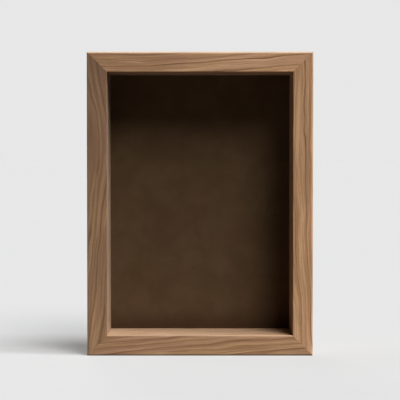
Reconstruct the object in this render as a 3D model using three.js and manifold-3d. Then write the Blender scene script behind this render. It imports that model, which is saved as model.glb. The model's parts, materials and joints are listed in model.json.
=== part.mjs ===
// An open-fronted shadow box of mitred hardwood rails, for a shelf or a wall.
//
// Units are millimetres. X runs to the right, Y from the open front to the back, and Z up.
// The origin is in the middle of the base, so the front face is at -Y and the wall at +Y.
//
// Four deep rails are mitred round the cavity, each corner stiffened by a hidden spline.
// A rabbet behind the cavity takes a covered lining panel and a back board, which lie flush
// with the rails' back rim. Six turn buttons on screws hold them in. Two strap hangers carry
// rings for wall hooks, and four bumpers keep all of this hardware off the wall.

import * as THREE from "three";
import { mergeVertices } from "three/addons/utils/BufferGeometryUtils.js";
import Module from "manifold-3d";

const wasm = await Module();
wasm.setup();

// ---- Driving dimensions -------------------------------------------------------------

const openingWidth = 148; // an A5 sheet fills the opening
const openingHeight = 210;
const cavityDepth = 50; // front face to lining
const railWidth = 16; // the rails' face, from outside to opening
const bumperHeight = 4; // how far the bumpers stand behind the rails

const rabbetWidth = 6; // how far the panels reach behind the opening
const liningThickness = 2;
const boardThickness = 4;
const panelClearance = 0.5; // all round, between the panels and the rabbet

const outerEase = 1.6; // rounding of the rails' outer front arris
const innerEase = 0.6; // rounding of the arris round the opening
const rearEase = 0.8; // rounding of the rails' outer rear arris
const arrisSegments = 6; // flats in each rounding of the rails
const mitreGap = 0.1; // glue line between two rails

const splineWidth = 10; // across the mitre
const splineThickness = 3;
const splineMargin = 6; // from the spline's ends to the front face and to the rabbet
const splineClearance = 0.15;

const buttonThickness = 1;
const buttonPivotRadius = 4.5;
const buttonTipRadius = 3.4;
const buttonReach = 15.5; // pivot to the centre of the tip
const buttonHoleRadius = 1.6;
const buttonHeights = [60, 152]; // up the side rails

const screwHeadRadius = 2.8;
const screwHeadHeight = 1.5;
const screwShankRadius = 1.1;
const screwLength = 11; // below the head
const screwTipLength = 2.5;
const pilotRadius = 1.25;

const strapWidth = 7.6;
const strapThickness = 0.8;
const strapLength = 9.8; // barrel axis to the far end
const strapScrewDrop = 5.6; // barrel axis to the screw
const barrelRadius = 1.7;
const barrelBoreRadius = 1;
const ringWireRadius = 0.75;
const ringWidth = 10.5; // of the wire's centre line
const ringLength = 15.75; // barrel axis to the centre line at the bow
const ringCornerRadius = 1.3;
const ringAxisHeight = 196;

const bumperRadius = 4.4;
const bumperInset = 6; // from the outer faces to a bumper's axis
const seatGap = 0.05; // under anything fixed on the rim
const runningGap = 0.1; // under and over anything that turns on the rim

const overcut = 1; // how far a cutting tool runs past what it cuts
const plateSegments = 8; // flats in each arc of a stamped plate
const pilotSides = 12;
const turnedSides = 20; // round a screw or a hanger's barrel
const bumperSides = 24;
const wireSides = 8; // round the ring's wire
const wireSteps = 56; // along the ring's wire

// ---- Worked out from them -----------------------------------------------------------

const outerWidth = openingWidth + 2 * railWidth;
const outerHeight = openingHeight + 2 * railWidth;
const railDepth = cavityDepth + liningThickness + boardThickness;
const overallDepth = railDepth + bumperHeight;
const frontY = -overallDepth / 2;
const liningY = frontY + cavityDepth;
const rimY = frontY + railDepth; // the flat back rim of the rails
const middleHeight = outerHeight / 2;
const rimCentre = (railWidth - rabbetWidth) / 2; // from the outer faces to the middle of the rim
const hangerX = outerWidth / 2 - ringWidth / 2 - ringWireRadius; // ring flush with the side

// ---- Materials ----------------------------------------------------------------------

const finish = (color, roughness, metalness = 0) =>
  new THREE.MeshStandardMaterial({ color, roughness, metalness });
const walnut = finish(0x9a7354, 0.6);
const beech = finish(0xcaa67c, 0.7);
const liningCloth = finish(0x463426, 0.95);
const hardboard = finish(0x6b4c33, 0.85);
const brass = finish(0xb08d4a, 0.35, 1);
const zincPlate = finish(0xb4b6b8, 0.4, 1);
const rubber = finish(0x2b2724, 0.9);

// ---- Solids -------------------------------------------------------------------------

function solid(geometry) {
  const bare = geometry.clone();
  bare.deleteAttribute("normal");
  bare.deleteAttribute("uv");
  const merged = mergeVertices(bare, 1e-4);
  return new wasm.Manifold(
    new wasm.Mesh({
      numProp: 3,
      vertProperties: merged.attributes.position.array,
      triVerts: new Uint32Array(merged.index.array),
    }),
  );
}

function geometryOf(made) {
  const mesh = made.getMesh();
  const geometry = new THREE.BufferGeometry();
  geometry.setAttribute("position", new THREE.BufferAttribute(mesh.vertProperties, 3));
  geometry.setIndex(new THREE.BufferAttribute(mesh.triVerts, 1));
  return geometry;
}

// A shape drawn in X and Z, given a thickness from y = 0 towards +Y.
function plate(shape, thickness) {
  const geometry = new THREE.ExtrudeGeometry(shape, {
    depth: thickness,
    bevelEnabled: false,
    curveSegments: plateSegments,
  });
  return geometry.rotateX(Math.PI / 2).translate(0, thickness, 0);
}

// A closed outline through corners [x, y, rounding].
function easedOutline(corners) {
  const shape = new THREE.Shape();
  corners.forEach(([x, y, rounding], i) => {
    const corner = new THREE.Vector2(x, y);
    const before = new THREE.Vector2(...corners.at(i - 1).slice(0, 2));
    const after = new THREE.Vector2(...corners[(i + 1) % corners.length].slice(0, 2));
    const entry = corner.clone().add(before.sub(corner).setLength(rounding));
    const exit = corner.clone().add(after.sub(corner).setLength(rounding));
    if (i === 0) shape.moveTo(entry.x, entry.y);
    else shape.lineTo(entry.x, entry.y);
    if (rounding > 0) shape.quadraticCurveTo(x, y, exit.x, exit.y);
  });
  return shape;
}

// ---- Rails and splines --------------------------------------------------------------

// A rail's section: X is the distance in from the outer face, Y the depth.
const railSection = easedOutline([
  [0, frontY, outerEase],
  [railWidth, frontY, innerEase],
  [railWidth, liningY, 0],
  [railWidth - rabbetWidth, liningY, 0],
  [railWidth - rabbetWidth, rimY, 0],
  [0, rimY, rearEase],
]);

const splineLength = cavityDepth - 2 * splineMargin;

// A spline lying across an upper mitre, the right one for sign 1 and the left one for -1,
// of a frame that reaches halfWidth and halfHeight from its middle. With clearance, its slot.
function splineGeometry(sign, halfWidth, halfHeight, clearance = 0) {
  const box = new THREE.BoxGeometry(
    splineThickness + 2 * clearance,
    splineLength + 2 * clearance,
    splineWidth + 2 * clearance,
  );
  const x = sign * (halfWidth - railWidth / 2);
  return box
    .rotateY((-sign * Math.PI) / 4)
    .translate(x, frontY + cavityDepth / 2, halfHeight - railWidth / 2);
}

// A rail lying along X with its outer face up, halfSpan above the middle of the frame.
// Its ends are cut back at 45 degrees, and pilotPlaces are where screws enter its rim.
function railGeometry(halfLength, halfSpan, pilotPlaces) {
  const blank = new THREE.ExtrudeGeometry(railSection, {
    depth: 1,
    bevelEnabled: false,
    curveSegments: arrisSegments,
  });
  const points = blank.attributes.position;
  for (let i = 0; i < points.count; i++) {
    const inward = points.getX(i);
    const end = points.getZ(i) > 0.5 ? 1 : -1;
    points.setXYZ(i, end * (halfLength - inward - mitreGap / 2), points.getY(i), halfSpan - inward);
  }
  let rail = solid(blank);
  for (const sign of [-1, 1]) {
    const slot = splineGeometry(sign, halfLength, halfSpan, splineClearance);
    rail = rail.subtract(solid(slot));
  }
  for (const [along, inset] of pilotPlaces) {
    const length = screwLength + 2 * overcut;
    const pilot = new THREE.CylinderGeometry(pilotRadius, pilotRadius, length, pilotSides);
    pilot.translate(along, rimY - screwLength / 2, halfSpan - inset);
    rail = rail.subtract(solid(pilot));
  }
  return geometryOf(rail);
}

// ---- Hardware -----------------------------------------------------------------------

// A tapered button: pivot at the origin, tip towards +X.
function turnButtonGeometry() {
  const lean = Math.acos((buttonPivotRadius - buttonTipRadius) / buttonReach);
  const outline = new THREE.Shape();
  outline.absarc(0, 0, buttonPivotRadius, lean, 2 * Math.PI - lean, false);
  outline.absarc(buttonReach, 0, buttonTipRadius, -lean, lean, false);
  outline.closePath();
  const hole = new THREE.Path();
  hole.absarc(0, 0, buttonHoleRadius, 0, 2 * Math.PI, true);
  outline.holes.push(hole);
  return plate(outline, buttonThickness);
}

// A pan-headed wood screw along Y, with the underside of its head at y = 0.
function screwGeometry() {
  const crown = screwHeadHeight;
  const profile = [
    [0, -screwLength],
    [screwShankRadius, screwTipLength - screwLength],
    [screwShankRadius, 0],
    [screwHeadRadius, 0],
    [screwHeadRadius, 0.4 * crown],
    [0.82 * screwHeadRadius, 0.8 * crown],
    [0.45 * screwHeadRadius, crown],
    [0, crown],
  ].map(([radius, y]) => new THREE.Vector2(radius, y));
  const crossWidth = 0.7;
  const crossLength = 3;
  const crossDepth = 0.9;
  let screw = solid(new THREE.LatheGeometry(profile, turnedSides));
  for (const [x, z] of [
    [crossLength, crossWidth],
    [crossWidth, crossLength],
  ]) {
    const cut = new THREE.BoxGeometry(x, 2 * crossDepth, z).translate(0, crown, 0);
    screw = screw.subtract(solid(cut));
  }
  return geometryOf(screw);
}

// A strap hanger: the barrel's axis lies along X through the origin at barrelRadius above
// the plate's underside, and the plate hangs below it.
function strapGeometry() {
  const half = strapWidth / 2;
  const rounding = 0.7 * half;
  const plan = easedOutline([
    [-half, -strapLength, rounding],
    [half, -strapLength, rounding],
    [half, 0, 0],
    [-half, 0, 0],
  ]);
  const screwHole = new THREE.Path();
  screwHole.absarc(0, -strapScrewDrop, buttonHoleRadius, 0, 2 * Math.PI, true);
  plan.holes.push(screwHole);
  const tongue = plate(plan, strapThickness).translate(0, -barrelRadius, 0);
  const alongX = (radius, length) =>
    new THREE.CylinderGeometry(radius, radius, length, turnedSides).rotateZ(Math.PI / 2);
  const strap = solid(tongue)
    .add(solid(alongX(barrelRadius, strapWidth)))
    .subtract(solid(alongX(barrelBoreRadius, strapWidth + 2 * overcut)));
  return geometryOf(strap);
}

// A D-shaped wire ring whose straight side lies along X through the origin, hanging down.
function ringGeometry() {
  const half = ringWidth / 2;
  const bowCentre = half - ringLength;
  const line = new THREE.Path();
  line.moveTo(0, 0);
  line.lineTo(half - ringCornerRadius, 0);
  line.absarc(half - ringCornerRadius, -ringCornerRadius, ringCornerRadius, Math.PI / 2, 0, true);
  line.lineTo(half, bowCentre);
  line.absarc(0, bowCentre, half, 0, -Math.PI, true);
  line.lineTo(-half, -ringCornerRadius);
  line.absarc(-half + ringCornerRadius, -ringCornerRadius, ringCornerRadius, Math.PI, Math.PI / 2, true);
  line.lineTo(0, 0);
  const points = line.getSpacedPoints(wireSteps).slice(0, wireSteps);
  const loop = new THREE.CatmullRomCurve3(points.map((p) => new THREE.Vector3(p.x, 0, p.y)), true);
  const wire = new THREE.TubeGeometry(loop, wireSteps, ringWireRadius, wireSides, true);
  return geometryOf(solid(wire));
}

// A domed foot with a flat crown, standing on y = 0 towards +Y.
function bumperGeometry() {
  const profile = [
    [0, 0],
    [bumperRadius, 0],
    [bumperRadius, 0.35 * bumperHeight],
    [0.94 * bumperRadius, 0.68 * bumperHeight],
    [0.82 * bumperRadius, 0.9 * bumperHeight],
    [0.66 * bumperRadius, bumperHeight - seatGap],
    [0, bumperHeight - seatGap],
  ].map(([radius, y]) => new THREE.Vector2(radius, y));
  return new THREE.LatheGeometry(profile, bumperSides);
}

// ---- Assembly -----------------------------------------------------------------------

const shadowBox = new THREE.Group();

function add(name, geometry, material, [x, y, z], turn = 0) {
  const mesh = new THREE.Mesh(geometry, material);
  mesh.name = name;
  mesh.position.set(x, y, z);
  mesh.rotation.y = turn;
  shadowBox.add(mesh);
}

const sides = [
  { name: "left", opposite: "right", sign: -1 },
  { name: "right", opposite: "left", sign: 1 },
];
const buttonLevels = [
  { name: "lower", height: buttonHeights[0] },
  { name: "upper", height: buttonHeights[1] },
];
const strapScrewHeight = ringAxisHeight - strapScrewDrop;
const middle = [0, 0, middleHeight];

// Rails and splines are drawn about the middle of the frame and turned into place.
const endPilots = [[0, rimCentre]];
add("top_rail", railGeometry(outerWidth / 2, outerHeight / 2, endPilots), walnut, middle);
add("bottom_rail", railGeometry(outerWidth / 2, outerHeight / 2, endPilots), walnut, middle, Math.PI);
for (const { name, sign } of sides) {
  const along = (height) => -sign * (height - middleHeight);
  const pilots = [
    ...buttonHeights.map((height) => [along(height), rimCentre]),
    [along(strapScrewHeight), outerWidth / 2 - hangerX],
  ];
  const rail = railGeometry(outerHeight / 2, outerWidth / 2, pilots);
  add(`${name}_rail`, rail, walnut, middle, (sign * Math.PI) / 2);
}
for (const { name, opposite, sign } of sides) {
  const spline = splineGeometry(sign, outerWidth / 2, outerHeight / 2);
  add(`corner_spline_top_${name}`, spline, beech, middle);
  add(`corner_spline_bottom_${opposite}`, spline, beech, middle, Math.PI);
}

// The panels in the rabbet.
const panelWidth = openingWidth + 2 * (rabbetWidth - panelClearance);
const panelHeight = openingHeight + 2 * (rabbetWidth - panelClearance);
const panel = (thickness) =>
  new THREE.BoxGeometry(panelWidth, thickness, panelHeight).translate(0, thickness / 2, 0);
add("lining_panel", panel(liningThickness), liningCloth, [0, liningY, middleHeight]);
add("back_board", panel(boardThickness), hardboard, [0, liningY + liningThickness, middleHeight]);

// Turn buttons point from the rim across the board: pointing is the turn that aims the tip.
const rimX = outerWidth / 2 - rimCentre;
const buttons = [
  { name: "top", x: 0, z: outerHeight - rimCentre, pointing: Math.PI / 2 },
  { name: "bottom", x: 0, z: rimCentre, pointing: -Math.PI / 2 },
];
for (const side of sides)
  for (const level of buttonLevels)
    buttons.push({
      name: `${side.name}_${level.name}`,
      x: side.sign * rimX,
      z: level.height,
      pointing: side.sign > 0 ? Math.PI : 0,
    });
const buttonY = rimY + runningGap;
for (const { name, x, z, pointing } of buttons) {
  add(`turn_button_${name}`, turnButtonGeometry(), brass, [x, buttonY, z], pointing);
  const headY = buttonY + buttonThickness + runningGap;
  add(`button_screw_${name}`, screwGeometry(), brass, [x, headY, z]);
}

// Strap hangers, their screws and their rings.
const barrelY = rimY + seatGap + barrelRadius;
for (const { name, sign } of sides) {
  const x = sign * hangerX;
  add(`hanger_strap_${name}`, strapGeometry(), zincPlate, [x, barrelY, ringAxisHeight]);
  add(`hanger_ring_${name}`, ringGeometry(), zincPlate, [x, barrelY, ringAxisHeight]);
  const headY = rimY + seatGap + strapThickness + seatGap;
  add(`hanger_screw_${name}`, screwGeometry(), zincPlate, [x, headY, strapScrewHeight]);
}

// Bumpers at the four rear corners.
for (const { name, sign } of sides)
  for (const [level, z] of [
    ["bottom", bumperInset],
    ["top", outerHeight - bumperInset],
  ]) {
    const x = sign * (outerWidth / 2 - bumperInset);
    add(`bumper_${level}_${name}`, bumperGeometry(), rubber, [x, rimY + seatGap, z]);
  }

export default shadowBox;
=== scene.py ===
"""The looks of a small walnut shadow box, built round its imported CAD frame.

The rails, panels and splines are the CAD's own solids with softened edges and node materials.
The metal fittings and the bumpers are rebuilt here in finer meshes that stand for their nodes.
Lengths are in metres, in the CAD's frame: the open front faces -Y, the wall side +Y, +Z is up.
"""

import json
import math
from typing import NamedTuple

import bmesh
import bpy
from mathutils import Matrix, Vector


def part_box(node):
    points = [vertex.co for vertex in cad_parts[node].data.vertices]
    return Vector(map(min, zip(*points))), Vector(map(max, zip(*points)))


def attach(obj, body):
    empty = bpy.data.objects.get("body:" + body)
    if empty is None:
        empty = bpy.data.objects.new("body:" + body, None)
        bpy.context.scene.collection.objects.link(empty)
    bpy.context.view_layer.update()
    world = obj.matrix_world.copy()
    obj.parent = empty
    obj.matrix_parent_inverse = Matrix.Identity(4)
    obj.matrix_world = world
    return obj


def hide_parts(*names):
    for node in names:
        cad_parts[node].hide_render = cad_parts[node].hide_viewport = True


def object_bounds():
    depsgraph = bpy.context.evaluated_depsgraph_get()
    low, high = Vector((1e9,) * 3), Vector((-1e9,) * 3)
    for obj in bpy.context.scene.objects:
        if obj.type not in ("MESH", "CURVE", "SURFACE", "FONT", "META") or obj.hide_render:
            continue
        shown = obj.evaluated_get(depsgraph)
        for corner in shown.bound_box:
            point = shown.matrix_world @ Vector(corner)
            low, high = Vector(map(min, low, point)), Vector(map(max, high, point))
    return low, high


MM = 0.001
UP, DOWN, LEFT, RIGHT, BACK = (0, 0, 1), (0, 0, -1), (-1, 0, 0), (1, 0, 0), (0, 1, 0)

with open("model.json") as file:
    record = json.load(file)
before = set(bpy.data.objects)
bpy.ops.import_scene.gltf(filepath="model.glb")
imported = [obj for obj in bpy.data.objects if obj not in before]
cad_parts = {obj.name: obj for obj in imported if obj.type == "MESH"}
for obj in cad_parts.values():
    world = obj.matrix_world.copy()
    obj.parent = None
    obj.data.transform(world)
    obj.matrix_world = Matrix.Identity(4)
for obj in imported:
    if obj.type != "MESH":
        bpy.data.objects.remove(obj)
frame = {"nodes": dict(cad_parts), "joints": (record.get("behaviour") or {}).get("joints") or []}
cad_low, cad_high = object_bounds()
pivots = {joint["child"]: Vector(joint["pos_m"]) for joint in frame["joints"]}


# ---- Node graphs --------------------------------------------------------------------


class Graph:
    """A material's node tree, with short calls for the few nodes used here."""

    def __init__(self, name):
        self.material = bpy.data.materials.new(name)
        self.material.use_nodes = True
        tree = self.material.node_tree
        self.nodes, self.links = tree.nodes, tree.links
        self.shader = self.nodes["Principled BSDF"]
        self.place = self.nodes.new("ShaderNodeTexCoord").outputs["Object"]

    def feed(self, socket, value):
        if isinstance(value, bpy.types.NodeSocket):
            self.links.new(value, socket)
        elif value is not None:
            socket.default_value = value

    def set(self, name, value):
        self.feed(self.shader.inputs[name], value)

    def math(self, operation, a, b=None, clamp=False):
        node = self.nodes.new("ShaderNodeMath")
        node.operation, node.use_clamp = operation, clamp
        self.feed(node.inputs[0], a)
        self.feed(node.inputs[1], b)
        return node.outputs[0]

    def total(self, *terms):
        result = terms[0]
        for term in terms[1:]:
            result = self.math("ADD", result, term)
        return result

    def scaled(self, value, factor):
        return self.math("MULTIPLY", value, factor)

    def less(self, value, amount):
        return self.math("SUBTRACT", value, amount)

    def fade(self, value, start, end):
        """0 at start and 1 at end, smooth between them."""
        node = self.nodes.new("ShaderNodeMapRange")
        node.interpolation_type = "SMOOTHSTEP"
        self.feed(node.inputs["Value"], value)
        low, high = min(start, end), max(start, end)
        node.inputs["From Min"].default_value, node.inputs["From Max"].default_value = low, high
        node.inputs["To Min"].default_value = 0.0 if start < end else 1.0
        node.inputs["To Max"].default_value = 1.0 if start < end else 0.0
        return node.outputs["Result"]

    def along(self, direction, offset=0.0):
        """How far a point lies along a direction, plus an offset."""
        node = self.nodes.new("ShaderNodeVectorMath")
        node.operation = "DOT_PRODUCT"
        self.links.new(self.place, node.inputs[0])
        node.inputs[1].default_value = direction
        return self.math("ADD", node.outputs["Value"], offset)

    def distance(self, place, point):
        node = self.nodes.new("ShaderNodeVectorMath")
        node.operation = "DISTANCE"
        self.links.new(place, node.inputs[0])
        node.inputs[1].default_value = point
        return node.outputs["Value"]

    def vector(self, x, y, z):
        node = self.nodes.new("ShaderNodeCombineXYZ")
        for socket, value in zip(node.inputs, (x, y, z)):
            self.feed(socket, value)
        return node.outputs[0]

    def stretched(self, places, per_metre, shifts=(0.0, 0.0, 0.0)):
        """A point to read a noise at: each place times its scale, plus its shift."""
        axes = []
        for place, scale, shift in zip(places, per_metre, shifts):
            axes.append(self.math("ADD", self.scaled(place, scale), shift))
        return self.vector(*axes)

    def noise(self, vector, scale=1.0, detail=2.0, roughness=0.5):
        node = self.nodes.new("ShaderNodeTexNoise")
        self.feed(node.inputs["Vector"], vector)
        node.inputs["Scale"].default_value = scale
        node.inputs["Detail"].default_value = detail
        node.inputs["Roughness"].default_value = roughness
        return node.outputs["Fac"]

    def random(self, value):
        """A different number from 0 to 1 for each whole number."""
        node = self.nodes.new("ShaderNodeTexWhiteNoise")
        node.noise_dimensions = "1D"
        self.feed(node.inputs["W"], value)
        return node.outputs["Value"]

    def mix(self, factor, a, b, mode="MIX"):
        node = self.nodes.new("ShaderNodeMix")
        node.data_type, node.blend_type = "RGBA", mode
        self.feed(node.inputs["Factor"], factor)
        self.feed(node.inputs["A"], a)
        self.feed(node.inputs["B"], b)
        return node.outputs["Result"]

    def bump(self, height, distance, strength=1.0):
        node = self.nodes.new("ShaderNodeBump")
        self.feed(node.inputs["Height"], height)
        node.inputs["Distance"].default_value = distance
        node.inputs["Strength"].default_value = strength
        if self.shader.inputs["Normal"].is_linked:
            self.links.new(self.shader.inputs["Normal"].links[0].from_socket, node.inputs["Normal"])
        self.links.new(node.outputs[0], self.shader.inputs["Normal"])


def rgb(red, green, blue):
    return (red, green, blue, 1.0)


# ---- Wood ---------------------------------------------------------------------------

WALNUT_LIGHT = (0.425, 0.240, 0.120)
WALNUT_STREAK = (0.300, 0.162, 0.078)
WALNUT_ROSY = (0.345, 0.186, 0.116)
WALNUT_PALE = (0.540, 0.335, 0.185)
WALNUT_DEEP = (0.235, 0.122, 0.058)
# Painted light: the pale colour laid on the ledge's face inside the box.
WALNUT_PAINTED_LIGHT = (0.62, 0.47, 0.33)
WALNUT_LINE = (0.150, 0.068, 0.027)
WALNUT_PORE = (0.085, 0.042, 0.020)
# The pale outer arris: rubbed wear, with a painted highlight where the top light catches it.
WORN_AND_LIT_EDGE = (0.72, 0.54, 0.38)
OUTER_EASE = 1.6 * MM  # the rounding of the rails' outer arris
RAIL_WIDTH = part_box("bottom_rail")[1].z
RING_SPACING = 4.3 * MM


class Grain(NamedTuple):
    """How the growth lines run in one rail, in metres, and how the rail is coloured, painted light
    included.
    """

    first: float  # where one line crosses the face at mid length, measured in from the outer face
    drift: float  # how far the lines lean outwards, per metre of length
    arch: float  # how far an arch's arms fall outwards, per metre either side of its crest
    crest: float  # where the arch has its crest, from mid length
    blunt: float  # over what length the crest is rounded
    tilt: float  # how far the lines step outwards, per metre of depth
    ripple: float  # how far they waver
    bold: float  # how dark they are
    seed: float  # picks the rail's own figure
    tone: float  # lightens the whole board
    tone_and_light_along: float  # lightens it further, per metre of length: partly the board's tone, partly painted light
    wear_and_highlight: float  # how pale its outer arris is painted: rubbed wear, and on the top rail mostly a painted highlight
    inside_painted_light: float = 0.0  # how far its face inside the box is painted paler, as painted light on the ledge


# Each rail's direction of length, its direction in towards the opening, and its grain.
RAILS = {
    "top_rail": (
        RIGHT,
        DOWN,
        Grain(
            first=7.2 * MM,
            drift=0.056,
            arch=0.072,
            crest=0.0,
            blunt=100 * MM,
            tilt=0.30,
            ripple=1.2 * MM,
            bold=1.0,
            seed=3.0,
            tone=1.17,
            tone_and_light_along=1.9,
            wear_and_highlight=0.45,
        ),
    ),
    "bottom_rail": (
        RIGHT,
        UP,
        Grain(
            first=15.6 * MM,
            drift=-0.094,
            arch=0.020,
            crest=0.0,
            blunt=100 * MM,
            tilt=0.35,
            ripple=1.2 * MM,
            bold=0.9,
            seed=11.0,
            tone=1.07,
            tone_and_light_along=0.8,
            wear_and_highlight=0.1,
            inside_painted_light=0.2,
        ),
    ),
    "left_rail": (
        UP,
        RIGHT,
        Grain(
            first=9.0 * MM,
            drift=0.030,
            arch=0.140,
            crest=52 * MM,
            blunt=12 * MM,
            tilt=0.26,
            ripple=2.0 * MM,
            bold=0.66,
            seed=21.0,
            tone=0.68,
            tone_and_light_along=-1.9,
            wear_and_highlight=0.1,
        ),
    ),
    "right_rail": (
        UP,
        LEFT,
        Grain(
            first=5.0 * MM,
            drift=-0.020,
            arch=0.060,
            crest=20 * MM,
            blunt=100 * MM,
            tilt=0.30,
            ripple=1.4 * MM,
            bold=0.9,
            seed=37.0,
            tone=1.19,
            tone_and_light_along=-1.5,
            wear_and_highlight=0.1,
        ),
    ),
}


def toned(colour, tone):
    """A colour times a board's tone."""
    return rgb(*(channel * tone for channel in colour))


def growth_place(g, grain, length, depth_in, depth_back):
    """A depth that is the same all along one bent growth line, and grows from line to line."""
    places = (length, depth_in, depth_back)
    # Slow waves bend the lines; they are long along the rail and short across it.
    wave_height = 7.8 * MM
    slow = g.noise(g.stretched(places, (16, 60, 40), (grain.seed, 0, 0)), detail=2.0)
    quick = g.noise(g.stretched(places, (55, 90, 60), (0, 0, grain.seed)), detail=2.0)
    from_crest = g.less(length, grain.crest)
    squared = g.math("ADD", g.math("MULTIPLY", from_crest, from_crest), grain.blunt**2)
    fallen = g.less(g.math("SQRT", squared), grain.blunt)
    return g.total(
        depth_in,
        g.scaled(length, grain.drift),
        g.scaled(fallen, grain.arch),
        g.scaled(depth_back, grain.tilt),
        g.scaled(g.less(slow, 0.5), wave_height),
        g.scaled(g.less(quick, 0.5), grain.ripple),
    )


def latewood(g, grain, across, length, depth_in, depth_back):
    """How dark the growth lines are, for a point at that depth across them.

    Each ring darkens towards a thin latewood line, then starts again pale. Every other line is a
    strong one.
    """
    growth = g.scaled(g.less(across, grain.first), 1 / RING_SPACING)
    uneven_spacing = g.noise(g.stretched((across, 0, 0), (110, 0, 0), (0, grain.seed, 0)), detail=1.0)
    growth = g.total(growth, g.scaled(uneven_spacing, 1.2), grain.seed)
    ring_number, ring_share = g.math("FLOOR", growth), g.math("FRACT", growth)

    chance = g.random(ring_number)
    strong = g.math("FLOORED_MODULO", ring_number, 2.0)
    weight = g.total(g.scaled(strong, 0.50), g.scaled(chance, 0.26), 0.02)
    shoulder = g.scaled(g.math("POWER", ring_share, 3.0), 0.40)
    crisp = g.fade(ring_share, 0.64, 0.88)
    after = g.fade(ring_share, 0.10, 0.0)
    line = g.math("MAXIMUM", g.math("MAXIMUM", shoulder, crisp), after)
    broken = g.noise(g.stretched((length, depth_in, depth_back), (45, 260, 1)), detail=2.0)
    strength = g.math("MULTIPLY", weight, g.math("ADD", g.scaled(broken, 1.5), 0.35))
    return g.math("MULTIPLY", line, g.scaled(strength, grain.bold), clamp=True)


def walnut(node, length_axis, inward_axis, grain):
    """Oiled walnut whose growth lines run through the whole rail, so they turn its corners."""
    g = Graph("walnut_" + node)
    low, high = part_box(node)
    inward = Vector(inward_axis)
    outer_face = min(low.dot(inward), high.dot(inward))
    middle = ((low + high) / 2).dot(Vector(length_axis))
    length = g.along(length_axis, -middle)
    depth_in = g.along(inward_axis, -outer_face)
    depth_back = g.along(BACK, -low.y)
    across = growth_place(g, grain, length, depth_in, depth_back)

    # Fine fibres, ribbons of lighter and darker wood and open pores all follow the growth lines.
    places = (length, across, depth_back)
    own_figure = (grain.seed, 0, 0)
    fibre = g.noise(g.stretched(places, (26, 1900, 900)), detail=3.0, roughness=0.65)
    streak = g.noise(g.stretched(places, (8, 620, 300), own_figure), detail=4.0, roughness=0.6)
    ribbon = g.noise(g.stretched(places, (13, 330, 160), own_figure), detail=3.0, roughness=0.55)
    rosy = g.noise(g.stretched((length, across, 0), (11, 130, 0), (0, 0, grain.seed + 5)), detail=2.0)
    pore = g.fade(g.noise(g.stretched(places, (290, 4300, 3300)), detail=1.0), 0.64, 0.74)

    def tinted(amount, base, colour):
        return g.mix(amount, base, toned(colour, grain.tone))

    base = tinted(g.fade(streak, 0.57, 0.41), toned(WALNUT_LIGHT, grain.tone), WALNUT_STREAK)
    base = tinted(g.scaled(g.fade(ribbon, 0.51, 0.64), 0.75), base, WALNUT_PALE)
    base = tinted(g.scaled(g.fade(ribbon, 0.48, 0.34), 0.70), base, WALNUT_DEEP)
    base = tinted(g.scaled(g.fade(rosy, 0.42, 0.66), 0.55), base, WALNUT_ROSY)
    base = tinted(g.scaled(g.fade(fibre, 0.60, 0.36), 0.42), base, WALNUT_STREAK)
    base = tinted(latewood(g, grain, across, length, depth_in, depth_back), base, WALNUT_LINE)
    base = tinted(g.scaled(pore, 0.42), base, WALNUT_PORE)

    # The board's tone changes a little in patches; the slow change along it is partly the board's
    # tone and partly painted light.
    blotch = g.noise(g.stretched((length, depth_in, 0), (16, 40, 0), (0, 0, grain.seed)), detail=1.5)
    shade = g.total(g.scaled(blotch, 0.50), g.scaled(length, grain.tone_and_light_along), 0.75)
    base = g.mix(1.0, base, g.vector(shade, shade, shade), "MULTIPLY")

    # Painted light: the face inside the box is drawn paler where the ledge catches the light from
    # above.
    inside = g.fade(depth_in, RAIL_WIDTH - 0.8 * MM, RAIL_WIDTH - 0.2 * MM)
    base = g.mix(g.scaled(inside, grain.inside_painted_light), base, rgb(*WALNUT_PAINTED_LIGHT))
    # Painted highlight and wear: the outer arris is painted pale, rubbed wear on every rail and
    # mostly a painted highlight on the top rail.
    from_corner = g.math("ADD", depth_in, depth_back)
    wear_and_highlight = g.scaled(g.fade(from_corner, OUTER_EASE * 1.05, OUTER_EASE * 0.62), grain.wear_and_highlight)
    g.set("Base Color", g.mix(wear_and_highlight, base, rgb(*WORN_AND_LIT_EDGE)))

    g.set("Roughness", g.total(0.50, g.scaled(fibre, 0.14), g.scaled(pore, 0.12)))
    g.set("Specular IOR Level", 0.30)
    g.set("Sheen Weight", 0.12)
    g.set("Sheen Roughness", 0.35)
    g.set("Sheen Tint", rgb(1.0, 0.86, 0.70))
    g.bump(fibre, 0.06 * MM)
    g.bump(g.scaled(pore, -1.0), 0.08 * MM)
    return g.material


def beech():
    """Pale raw beech, with the short dark flecks of its rays."""
    g = Graph("beech")
    places = (g.along(RIGHT), g.along(BACK), g.along(UP))
    fibre = g.noise(g.stretched(places, (900, 30, 900)), detail=3.0)
    fleck = g.fade(g.noise(g.stretched(places, (1600, 260, 1600)), detail=0.0), 0.66, 0.72)
    base = g.mix(fibre, rgb(0.50, 0.31, 0.16), rgb(0.66, 0.45, 0.26))
    g.set("Base Color", g.mix(g.scaled(fleck, 0.6), base, rgb(0.30, 0.15, 0.07)))
    g.set("Roughness", g.math("ADD", g.scaled(fibre, 0.15), 0.62))
    g.bump(fibre, 0.05 * MM)
    return g.material


# ---- Panels -------------------------------------------------------------------------


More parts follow.
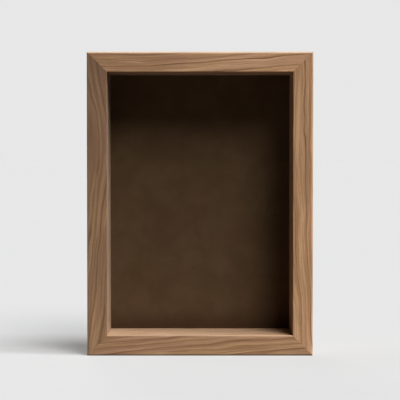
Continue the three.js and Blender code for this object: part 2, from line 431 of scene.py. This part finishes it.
def suede_paper():
    """Dark brown flocked paper: a short nap with faint brushed clouds and no gloss."""
    g = Graph("suede_paper")
    nap = g.noise(g.place, 2600, detail=3.0, roughness=0.7)
    tuft = g.noise(g.place, 620, detail=2.0)
    cloud = g.noise(g.place, 46, detail=3.5, roughness=0.6)
    tint = g.noise(g.place, 30, detail=2.0)
    base = g.mix(g.fade(nap, 0.30, 0.72), rgb(0.063, 0.037, 0.019), rgb(0.106, 0.065, 0.033))
    base = g.mix(g.scaled(g.fade(cloud, 0.36, 0.66), 0.34), base, rgb(0.127, 0.080, 0.043))
    base = g.mix(g.scaled(g.fade(tint, 0.40, 0.65), 0.22), base, rgb(0.102, 0.055, 0.035))
    base = g.mix(g.scaled(g.fade(tuft, 0.55, 0.75), 0.25), base, rgb(0.056, 0.032, 0.016))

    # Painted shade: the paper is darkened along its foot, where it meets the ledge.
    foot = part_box("lining_panel")[0].z
    full_below, none_above = 6 * MM, 26 * MM
    painted_foot_shade = g.fade(g.along(UP, -foot), none_above, full_below)
    g.set("Base Color", g.mix(g.scaled(painted_foot_shade, 0.55), base, rgb(0.031, 0.014, 0.007)))
    g.set("Roughness", 0.95)
    g.set("Specular IOR Level", 0.03)
    g.bump(nap, 0.12 * MM)
    return g.material


def hardboard():
    """Brown hardboard with its pressed screen pattern, fibres and the arcs the buttons rub."""
    g = Graph("hardboard")
    across, up = g.along(RIGHT), g.along(UP)
    screen_pitch = 1.1 * MM
    threads = [g.math("SINE", g.scaled(place, 2 * math.pi / screen_pitch)) for place in (across, up)]
    weave = g.math("MULTIPLY", *threads)
    fibre = g.noise(g.place, 900, detail=4.0, roughness=0.7)
    cloud = g.noise(g.place, 28, detail=3.0)
    base = g.mix(g.fade(fibre, 0.3, 0.7), rgb(0.105, 0.050, 0.022), rgb(0.200, 0.105, 0.052))
    base = g.mix(g.scaled(cloud, 0.55), base, rgb(0.150, 0.074, 0.034))
    arc_radius, arc_half_width = 17.2 * MM, 1.1 * MM
    flat = g.vector(across, 0.0, up)
    rubbed = 0.0
    for body, pivot in pivots.items():
        if not body.startswith("button"):
            continue
        off_arc = g.math("ABSOLUTE", g.less(g.distance(flat, (pivot.x, 0, pivot.z)), arc_radius))
        rubbed = g.math("MAXIMUM", g.fade(off_arc, arc_half_width, 0.0), rubbed)
    scuff = g.math("MULTIPLY", rubbed, g.fade(g.noise(g.place, 340, detail=3.0), 0.42, 0.70))
    g.set("Base Color", g.mix(g.scaled(scuff, 0.55), base, rgb(0.30, 0.18, 0.10)))
    g.set("Roughness", g.math("ADD", g.scaled(fibre, 0.2), 0.66))
    g.set("Specular IOR Level", 0.3)
    g.bump(weave, 0.05 * MM, strength=0.4)
    g.bump(fibre, 0.08 * MM)
    return g.material


# ---- Metal and rubber ---------------------------------------------------------------


def metal(name, colours, brush_axis, roughness):
    """Metal, bright and tarnished, with fine brush lines along one of the piece's own axes."""
    g = Graph(name)
    pale, dark = colours
    lines_along, lines_across = 120, 3200
    per_metre = [lines_along if axis == brush_axis else lines_across for axis in (RIGHT, BACK, UP)]
    places = (g.along(RIGHT), g.along(BACK), g.along(UP))
    brush = g.noise(g.stretched(places, per_metre), detail=2.0)
    tarnish = g.noise(g.place, 260, detail=3.0, roughness=0.6)
    base = g.mix(g.fade(tarnish, 0.42, 0.72), pale, dark)
    g.set("Base Color", g.mix(g.scaled(brush, 0.18), base, dark))
    g.set("Metallic", 1.0)
    g.set("Roughness", g.total(roughness, g.scaled(brush, 0.14), g.scaled(tarnish, 0.10)))
    g.bump(brush, 0.012 * MM)
    return g.material


def bumper_rubber():
    """Near-black moulded rubber with a faint matte grain and a little dust on its crown."""
    g = Graph("bumper_rubber")
    grain = g.noise(g.place, 2400, detail=2.0)
    dust = g.fade(g.noise(g.place, 500, detail=4.0, roughness=0.7), 0.52, 0.80)
    base = g.mix(grain, rgb(0.020, 0.017, 0.015), rgb(0.034, 0.030, 0.026))
    g.set("Base Color", g.mix(g.scaled(dust, 0.35), base, rgb(0.16, 0.14, 0.12)))
    g.set("Roughness", g.math("ADD", g.scaled(dust, 0.2), 0.62))
    g.set("Specular IOR Level", 0.35)
    g.bump(grain, 0.03 * MM)
    return g.material


# ---- Mesh building ------------------------------------------------------------------


def bridge(bm, first, second):
    """Quads between two closed loops of the same length."""
    count = len(first)
    for i in range(count):
        j = (i + 1) % count
        bm.faces.new((first[i], first[j], second[j], second[i]))


def ring(bm, points):
    """A loop of new vertices, without faces."""
    return [bm.verts.new(point) for point in points]


def mesh_object(name, bm, material, smooth_angle=35):
    """An object from a bmesh, with smooth shading except at its sharper edges."""
    bmesh.ops.recalc_face_normals(bm, faces=bm.faces)
    limit = math.radians(smooth_angle)
    for edge in bm.edges:
        edge.smooth = len(edge.link_faces) == 2 and edge.calc_face_angle() < limit
    for face in bm.faces:
        face.smooth = True
    mesh = bpy.data.meshes.new(name)
    bm.to_mesh(mesh)
    bm.free()
    mesh.materials.append(material)
    made = bpy.data.objects.new(name, mesh)
    bpy.context.scene.collection.objects.link(made)
    return made


def stand_for(made, node, body, placement):
    """Puts a finer piece in the place of a CAD node, on that node's body."""
    made.matrix_world = placement
    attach(made, body)
    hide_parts(node)


def facing_back(x, y, z, turn=0.0):
    """Places a fitting drawn with +Z as its outward side, first turned about it, in degrees."""
    stand = Matrix.Rotation(-math.pi / 2, 4, "X")
    return Matrix.Translation((x, y, z)) @ stand @ Matrix.Rotation(math.radians(turn), 4, "Z")


def lathe(bm, profile, segments):
    """Turns (radius, height) points round Z; a radius of 0 makes a pole."""
    loops = []
    for radius, height in profile:
        if radius == 0:
            loops.append(bm.verts.new((0, 0, height)))
            continue
        angles = [2 * math.pi * i / segments for i in range(segments)]
        loops.append(ring(bm, [(radius * math.cos(a), radius * math.sin(a), height) for a in angles]))
    for first, second in zip(loops, loops[1:]):
        if isinstance(first, list) and isinstance(second, list):
            bridge(bm, first, second)
            continue
        pole, loop = (second, first) if isinstance(first, list) else (first, second)
        for i in range(segments):
            bm.faces.new((pole, loop[i], loop[(i + 1) % segments]))


# ---- Fittings -----------------------------------------------------------------------

BUTTON_TIP_RADIUS = 3.4 * MM
BUTTON_HOLE_RADIUS = 1.6 * MM


def button_outline(pivot_radius, reach, inset):
    """The button's outline, moved inwards: an arc round the pivot and one round the tip."""
    lean = math.acos((pivot_radius - BUTTON_TIP_RADIUS) / reach)
    arcs = (
        (0.0, pivot_radius - inset, lean, 2 * math.pi - lean, 40),
        (reach, BUTTON_TIP_RADIUS - inset, -lean, lean, 20),
    )
    points = []
    for centre, radius, start, end, steps in arcs:
        for i in range(steps + 1):
            angle = start + (end - start) * i / steps
            points.append((centre + radius * math.cos(angle), radius * math.sin(angle)))
    return points


def turn_button(name, node, material):
    """A stamped button: rounded upper arris, crisp lower one, a dished seat round its hole."""
    low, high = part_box(node)
    size = high - low
    thickness = size.y
    pivot_radius = min(size.x, size.z) / 2
    reach = max(size.x, size.z) - pivot_radius - BUTTON_TIP_RADIUS
    rounding, rounding_steps = 0.32 * MM, 5
    burr = 0.08 * MM
    flat_inset = 0.6 * MM
    levels = [(burr, 0), (0, burr), (0, thickness - rounding)]
    for step in range(1, rounding_steps + 1):
        angle = math.pi / 2 * step / rounding_steps
        inset, drop = rounding * (1 - math.cos(angle)), rounding * (1 - math.sin(angle))
        levels.append((inset, thickness - drop))
    levels.append((flat_inset, thickness))
    bm = bmesh.new()
    loops = []
    for inset, height in levels:
        outline = button_outline(pivot_radius, reach, inset)
        loops.append(ring(bm, [(x, y, height) for x, y in outline]))

    dish_rim, dish_slope, dish_floor, dish = 2.9 * MM, 2.5 * MM, 2.0 * MM, 0.12 * MM
    seats = [
        (dish_rim, thickness),
        (dish_slope, thickness - dish / 2),
        (dish_floor, thickness - dish),
        (BUTTON_HOLE_RADIUS + burr, thickness - dish),
        (BUTTON_HOLE_RADIUS, thickness - dish - burr),
        (BUTTON_HOLE_RADIUS, burr),
        (BUTTON_HOLE_RADIUS + burr, 0),
    ]
    directions = [Vector(p).normalized() for p in button_outline(pivot_radius, reach, 0)]
    for radius, height in seats:
        loops.append(ring(bm, [(d.x * radius, d.y * radius, height) for d in directions]))
    for first, second in zip(loops, loops[1:] + loops[:1]):
        bridge(bm, first, second)
    return mesh_object(name, bm, material)


SCREW_CROWN = 1.5 * MM  # the height of a screw's head
SCREW_SKIRT = 0.30 * SCREW_CROWN  # the straight side under its dome


def ramp(value, start, end):
    """0 at start and 1 at end, straight between them."""
    return max(0.0, min(1.0, (value - start) / (end - start)))


def cross_recess(x, y):
    """How deep the driver's cross is pressed in: deepest in the middle, with steep sides."""
    depth, reach, half_width, wall = 0.9 * MM, 1.5 * MM, 0.36 * MM, 0.14 * MM
    full_depth_within = 0.3 * reach

    def arm(along, across):
        side = ramp(abs(across), half_width + wall / 2, half_width - wall / 2)
        return side * ramp(abs(along), reach, full_depth_within)

    return depth * max(arm(x, y), arm(y, x))


def head_height(x, y, head_radius):
    """The domed surface of a pan head with its recess."""
    share = min(math.hypot(x, y) / head_radius, 1.0)
    fullness = 2.8
    dome = SCREW_SKIRT + (SCREW_CROWN - SCREW_SKIRT) * math.sqrt(1 - share**fullness)
    return dome - cross_recess(x, y)


def wood_screw(name, node, material):
    """A pan-head screw with a pressed cross recess and a cut thread on its shank."""
    low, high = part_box(node)
    head_radius = (high.x - low.x) / 2
    length = high.y - low.y - SCREW_CROWN
    segments = 72
    angles = [2 * math.pi * i / segments for i in range(segments)]

    def circle(radius):
        return [(radius * math.cos(a), radius * math.sin(a)) for a in angles]

    bm = bmesh.new()
    pole = bm.verts.new((0, 0, head_height(0, 0, head_radius)))
    loops = []
    head_rings = 34
    for i in range(1, head_rings + 1):
        radius = head_radius * math.sin(math.pi / 2 * i / head_rings)
        loops.append(ring(bm, [(x, y, head_height(x, y, head_radius)) for x, y in circle(radius)]))

    core, crest, pitch, tip = 0.82 * MM, 1.1 * MM, 0.9 * MM, 2.5 * MM
    tooth_half_width = 0.28  # of the pitch
    rim = 0.05 * MM  # the eased edge under the head
    for radius, height in ((head_radius, rim), (head_radius - rim, 0), (core, 0)):
        loops.append(ring(bm, [(x, y, height) for x, y in circle(radius)]))
    shank_rings = 60
    for i in range(1, shank_rings):
        depth = length * i / shank_rings
        taper = min(1.0, (length - depth) / tip)
        run_in = min(1.0, depth / pitch)
        points = []
        for a in angles:
            phase = (depth / pitch + a / (2 * math.pi)) % 1.0
            tooth = ramp(abs(phase - 0.5), tooth_half_width, 0.0)
            radius = (core + (crest - core) * tooth * run_in) * taper
            points.append((radius * math.cos(a), radius * math.sin(a), -depth))
        loops.append(ring(bm, points))
    for first, second in zip(loops, loops[1:]):
        bridge(bm, first, second)
    point = bm.verts.new((0, 0, -length))
    for i in range(segments):
        j = (i + 1) % segments
        bm.faces.new((pole, loops[0][i], loops[0][j]))
        bm.faces.new((point, loops[-1][j], loops[-1][i]))
    return mesh_object(name, bm, material, smooth_angle=50)


def rolled_strap(name, node, material):
    """A strap hanger bent from strip: a flat tongue whose end is rolled into a barrel.

    It is drawn with the barrel's axis along X through the origin, and the tongue towards +Y.
    """
    low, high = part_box(node)
    half_width = (high.x - low.x) / 2
    outer = (high.y - low.y) / 2
    thickness = 0.75 * MM
    tongue = (high.z - low.z) - outer
    middle = outer - thickness / 2
    end_rounding = 0.7 * half_width
    hole_from_barrel, hole_radius = 5.6 * MM, 1.6 * MM
    flat_steps, curl_steps, width_steps = 26, 30, 10
    curl = math.radians(292)

    # The strip's centre line from the tongue's end into the curl, with its inward normal.
    centre_line = []
    for i in range(flat_steps):
        centre_line.append(((tongue * (1 - i / flat_steps), -middle), (0, 1)))
    for i in range(curl_steps + 1):
        angle = curl * i / curl_steps
        away = Vector((-math.sin(angle), -math.cos(angle)))
        centre_line.append((tuple(away * middle), tuple(-away)))

    # The strip is swept across its width, narrower towards the tongue's rounded end.
    bm = bmesh.new()
    loops = []
    for step in range(width_steps + 1):
        station = 2 * step / width_steps - 1
        inner_side, outer_side = [], []
        for (along, height), (n_along, n_height) in centre_line:
            from_end = tongue - along
            width = half_width
            if from_end < end_rounding:
                width -= end_rounding - math.sqrt(end_rounding**2 - (end_rounding - from_end) ** 2)
            x = station * width
            inner_side.append((x, along + n_along * thickness / 2, height + n_height * thickness / 2))
            outer_side.append((x, along - n_along * thickness / 2, height - n_height * thickness / 2))
        loops.append(ring(bm, inner_side + outer_side[::-1]))
    for first, second in zip(loops, loops[1:]):
        bridge(bm, first, second)
    count = len(centre_line)
    for loop in (loops[0], loops[-1]):
        for i in range(count - 1):
            bm.faces.new((loop[i], loop[i + 1], loop[2 * count - 2 - i], loop[2 * count - 1 - i]))
    made = mesh_object(name, bm, material)
    cut_round_hole(made, Vector((0, hole_from_barrel, -middle)), hole_radius, 4 * thickness)
    soften(made, 0.12 * MM, segments=2, angle=50)
    return made


def cut_round_hole(made, centre, radius, height):
    """Cuts a hole along Z, removes the cutter and cleans up the specks the cut leaves."""
    bm = bmesh.new()
    profile = [(0, -height / 2), (radius, -height / 2), (radius, height / 2), (0, height / 2)]
    lathe(bm, profile, segments=40)
    cutter = mesh_object("hole_cutter", bm, made.data.materials[0])
    cutter.location = centre
    cut = made.modifiers.new("hole", "BOOLEAN")
    cut.object, cut.operation, cut.solver = cutter, "DIFFERENCE", "EXACT"
    bpy.context.view_layer.update()
    evaluated = made.evaluated_get(bpy.context.evaluated_depsgraph_get())
    result = bpy.data.meshes.new_from_object(evaluated)
    made.modifiers.clear()
    made.data = result
    bpy.data.objects.remove(cutter)
    speck = 0.01 * MM
    bm = bmesh.new()
    bm.from_mesh(result)
    bmesh.ops.remove_doubles(bm, verts=bm.verts, dist=speck)
    bmesh.ops.dissolve_degenerate(bm, edges=bm.edges, dist=speck)
    bm.to_mesh(result)
    bm.free()


def soften(made, width, segments, angle):
    """Rounds the sharper edges and evens the shading across them."""
    bevel = made.modifiers.new("soft_edges", "BEVEL")
    bevel.width, bevel.segments = width, segments
    bevel.limit_method, bevel.angle_limit = "ANGLE", math.radians(angle)
    bevel.use_clamp_overlap = True
    normals = made.modifiers.new("even_shading", "WEIGHTED_NORMAL")
    normals.keep_sharp = False


def wire_ring(name, node, material):
    """A D-shaped ring of round wire, its straight side along X through the origin."""
    low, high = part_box(node)
    wire = (high.y - low.y) / 2
    half = (high.x - low.x) / 2 - wire
    length = high.z - low.z - 2 * wire
    corner = 1.3 * MM

    # One half of the D: its straight side, a corner, a leg and half the bow. Then its mirror.
    straight_steps, corner_steps, side_steps, bow_steps = 8, 8, 14, 40
    path = []
    for i in range(straight_steps):
        path.append(((half - corner) * i / straight_steps, 0.0))
    for i in range(corner_steps):
        angle = math.pi / 2 * (1 - i / corner_steps)
        path.append((half - corner + corner * math.cos(angle), corner - corner * math.sin(angle)))
    bow_centre = length - half
    for i in range(side_steps):
        path.append((half, corner + (bow_centre - corner) * i / side_steps))
    for i in range(bow_steps):
        angle = math.pi / 2 * i / bow_steps
        path.append((half * math.cos(angle), bow_centre + half * math.sin(angle)))
    mirrored = [(-x, y) for x, y in reversed(path[1:])]
    path = path + [(0.0, length)] + mirrored

    sides = 16
    bm = bmesh.new()
    loops = []
    for i, (x, y) in enumerate(path):
        before, after = Vector(path[i - 1]), Vector(path[(i + 1) % len(path)])
        tangent = (after - before).normalized()
        normal = Vector((tangent.y, -tangent.x))
        points = []
        for k in range(sides):
            angle = 2 * math.pi * k / sides
            offset = normal * (wire * math.cos(angle))
            points.append((x + offset.x, y + offset.y, wire * math.sin(angle)))
        loops.append(ring(bm, points))
    for first, second in zip(loops, loops[1:] + loops[:1]):
        bridge(bm, first, second)
    return mesh_object(name, bm, material, smooth_angle=60)


def bumper(name, node, material):
    """A moulded rubber foot: slightly flared foot, rounded shoulder, shallow dimpled crown."""
    low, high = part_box(node)
    radius, height = (high.x - low.x) / 2, high.y - low.y
    shares = [(0, 0), (0.96, 0), (1, 0.10), (1, 0.18)]
    crown, shoulder, shoulder_steps = 0.66, 0.30, 12
    for i in range(1, shoulder_steps + 1):
        angle = math.pi / 2 * i / shoulder_steps
        across = crown + (1 - crown) * math.cos(angle)
        up = shoulder + (1 - shoulder) * math.sin(angle)
        shares.append((across, up))
    shares += [(0.40, 1), (0.32, 0.97), (0, 0.955)]
    bm = bmesh.new()
    lathe(bm, [(radius * across, height * up) for across, up in shares], segments=64)
    return mesh_object(name, bm, material, smooth_angle=40)


# ---- Putting the looks on -----------------------------------------------------------


def nodes_named(start):
    return [name for name in frame["nodes"] if name.startswith(start)]


def dress(node, material, edge_width):
    """Gives a CAD node its material and softened edges."""
    made = frame["nodes"][node]
    made.data.materials.clear()
    made.data.materials.append(material)
    weld = made.modifiers.new("closed", "WELD")
    weld.merge_threshold = 0.001 * MM
    soften(made, edge_width, segments=2, angle=40)


for node, (length_axis, inward_axis, grain) in RAILS.items():
    dress(node, walnut(node, length_axis, inward_axis, grain), 0.10 * MM)
spline_wood = beech()
for node in nodes_named("corner_spline"):
    dress(node, spline_wood, 0.25 * MM)
dress("lining_panel", suede_paper(), 0.3 * MM)
dress("back_board", hardboard(), 0.35 * MM)

BRASS = rgb(0.70, 0.50, 0.20), rgb(0.46, 0.30, 0.10)
ZINC = rgb(0.62, 0.63, 0.64), rgb(0.40, 0.41, 0.42)
brass_plate = metal("brushed_brass", BRASS, brush_axis=RIGHT, roughness=0.26)
brass_screw = metal("turned_brass", BRASS, brush_axis=UP, roughness=0.24)
zinc_strip = metal("zinc_strip", ZINC, brush_axis=RIGHT, roughness=0.28)
zinc_wire = metal("zinc_wire", ZINC, brush_axis=BACK, roughness=0.22)
zinc_screw = metal("zinc_screw", ZINC, brush_axis=UP, roughness=0.26)
rubber = bumper_rubber()

# Where each button points, and how far its screw's cross happens to be turned, in degrees.
BUTTONS = {
    "top": (90, 12),
    "bottom": (-90, 51),
    "left_lower": (0, 33),
    "left_upper": (0, 74),
    "right_lower": (180, 5),
    "right_upper": (180, 62),
}
for place, (button_turn, screw_turn) in BUTTONS.items():
    node = "turn_button_" + place
    pivot = pivots["button_" + place]
    made = turn_button("brass_button_" + place, node, brass_plate)
    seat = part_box(node)[0].y
    placement = facing_back(pivot.x, seat, pivot.z, button_turn)
    stand_for(made, node, "button_" + place, placement)
    node = "button_screw_" + place
    made = wood_screw("brass_screw_" + place, node, brass_screw)
    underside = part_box(node)[1].y - SCREW_CROWN
    placement = facing_back(pivot.x, underside, pivot.z, screw_turn)
    stand_for(made, node, "box", placement)

for side, screw_turn in (("left", 20), ("right", 67)):
    axis = pivots["ring_" + side]
    node = "hanger_strap_" + side
    made = rolled_strap("zinc_strap_" + side, node, zinc_strip)
    stand_for(made, node, "box", facing_back(*axis))
    node = "hanger_ring_" + side
    made = wire_ring("zinc_ring_" + side, node, zinc_wire)
    stand_for(made, node, "ring_" + side, facing_back(*axis))
    node = "hanger_screw_" + side
    low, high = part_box(node)
    made = wood_screw("zinc_screw_" + side, node, zinc_screw)
    centre = (low + high) / 2
    placement = facing_back(centre.x, high.y - SCREW_CROWN, centre.z, screw_turn)
    stand_for(made, node, "box", placement)

for node in nodes_named("bumper"):
    low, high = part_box(node)
    made = bumper("rubber_" + node, node, rubber)
    centre = (low + high) / 2
    stand_for(made, node, "box", facing_back(centre.x, low.y, centre.z))


# ---- Stage, light and camera --------------------------------------------------------


def seen_and_bounced(nodes, links, seen, bounced, output):
    """What the camera sees of the studio, and the dimmer light the studio gives the object."""
    rays = nodes.new("ShaderNodeLightPath")
    choose = nodes.new("ShaderNodeMixShader")
    links.new(rays.outputs["Is Camera Ray"], choose.inputs[0])
    links.new(bounced, choose.inputs[1])
    links.new(seen, choose.inputs[2])
    links.new(choose.outputs[0], output)


BACKDROP = 0.80  # the brightness of the backdrop that the camera sees
FLOOR_WHITE = 0.353  # with the lights and the glow, it brings the floor to the same brightness
FLOOR_GLOW = 0.18  # lifts the floor's shadows, as a white studio all round would
FLOOR_TINT = rgb(1.11, 1.09, 1.05)  # evens out the colours of the lights on the floor
FLOOR_BOUNCE = rgb(0.14, 0.132, 0.125)  # how much light the floor gives back to the object
FLOOR_HALF = 40.0  # half its width, so that its far edge is lost at the horizon
FLOOR_GAP = 0.05 * MM  # how far it lies below the box's base
STUDIO_FILL = 0.03  # the even light that the surroundings give the object


def floor():
    """A matte pale floor, which meets the backdrop without a visible seam."""
    g = Graph("pale_floor")
    mottle = g.noise(g.place, 6, detail=3.0)
    white = g.scaled(g.math("ADD", g.scaled(mottle, 0.02), 0.99), FLOOR_WHITE)
    g.set("Base Color", g.vector(white, white, white))
    g.set("Roughness", 1.0)
    g.set("Specular IOR Level", 0.0)
    g.set("Emission Color", FLOOR_TINT)
    g.set("Emission Strength", FLOOR_GLOW)
    dim = g.nodes.new("ShaderNodeBsdfDiffuse")
    dim.inputs["Color"].default_value = FLOOR_BOUNCE
    surface = g.nodes["Material Output"].inputs["Surface"]
    seen_and_bounced(g.nodes, g.links, g.shader.outputs[0], dim.outputs[0], surface)
    bm = bmesh.new()
    signs = ((-1, -1), (1, -1), (1, 1), (-1, 1))
    bm.faces.new(ring(bm, [(x * FLOOR_HALF, y * FLOOR_HALF, 0) for x, y in signs]))
    made = mesh_object("floor", bm, g.material)
    made.location.z = cad_low.z - FLOOR_GAP


def studio_world():
    """A dim even fill, seen by the camera itself as the pale studio backdrop."""
    world = bpy.data.worlds.new("studio")
    world.use_nodes = True
    bpy.context.scene.world = world
    nodes, links = world.node_tree.nodes, world.node_tree.links
    fill = nodes["Background"]
    fill.inputs["Color"].default_value = rgb(1, 1, 1)
    fill.inputs["Strength"].default_value = STUDIO_FILL
    backdrop = nodes.new("ShaderNodeBackground")
    backdrop.inputs["Color"].default_value = rgb(BACKDROP, BACKDROP, BACKDROP)
    output = nodes["World Output"].inputs[0]
    seen_and_bounced(nodes, links, backdrop.outputs[0], fill.outputs[0], output)


def soft_light(name, azimuth, elevation, spread, energy, colour):
    """A broad light from a direction, in degrees: azimuth 0 is straight in front, 90 the right."""
    light = bpy.data.lights.new(name, "SUN")
    light.energy, light.angle, light.color = energy, math.radians(spread), colour
    made = bpy.data.objects.new(name, light)
    azimuth, elevation = math.radians(azimuth), math.radians(elevation)
    level = math.cos(elevation)
    towards = Vector((math.sin(azimuth) * level, -math.cos(azimuth) * level, math.sin(elevation)))
    made.rotation_mode = "QUATERNION"
    made.rotation_quaternion = towards.to_track_quat("Z", "Y")
    bpy.context.scene.collection.objects.link(made)


def camera():
    """A long lens straight in front of the box, a little above its middle, tipped down slightly."""
    view = bpy.data.cameras.new("camera")
    view.sensor_width = 36
    view.lens = 133.9
    view.shift_y = -0.0013
    view.clip_start, view.clip_end = 0.05, 100
    made = bpy.data.objects.new("camera", view)
    distance, height = 1183 * MM, 160 * MM
    pitch = math.radians(1.71)
    made.location = (0, cad_low.y - distance, cad_low.z + height)
    made.rotation_euler = (math.pi / 2 - pitch, 0, 0)
    bpy.context.scene.collection.objects.link(made)
    bpy.context.scene.camera = made


floor()
studio_world()
WHITE, WARM, COOL = (1.0, 1.0, 1.0), (1.0, 0.99, 0.98), (0.97, 1.0, 1.04)
soft_light("key", azimuth=27, elevation=46, spread=28, energy=2.17, colour=WARM)
soft_light("top", azimuth=50, elevation=70, spread=24, energy=2.5, colour=COOL)
soft_light("wrap", azimuth=76, elevation=34, spread=18, energy=1.65, colour=WARM)
soft_light("rear", azimuth=192, elevation=12, spread=22, energy=1.3, colour=WHITE)
soft_light("left", azimuth=252, elevation=12, spread=30, energy=1.0, colour=WHITE)
camera()
bpy.context.scene.view_settings.view_transform = "Standard"
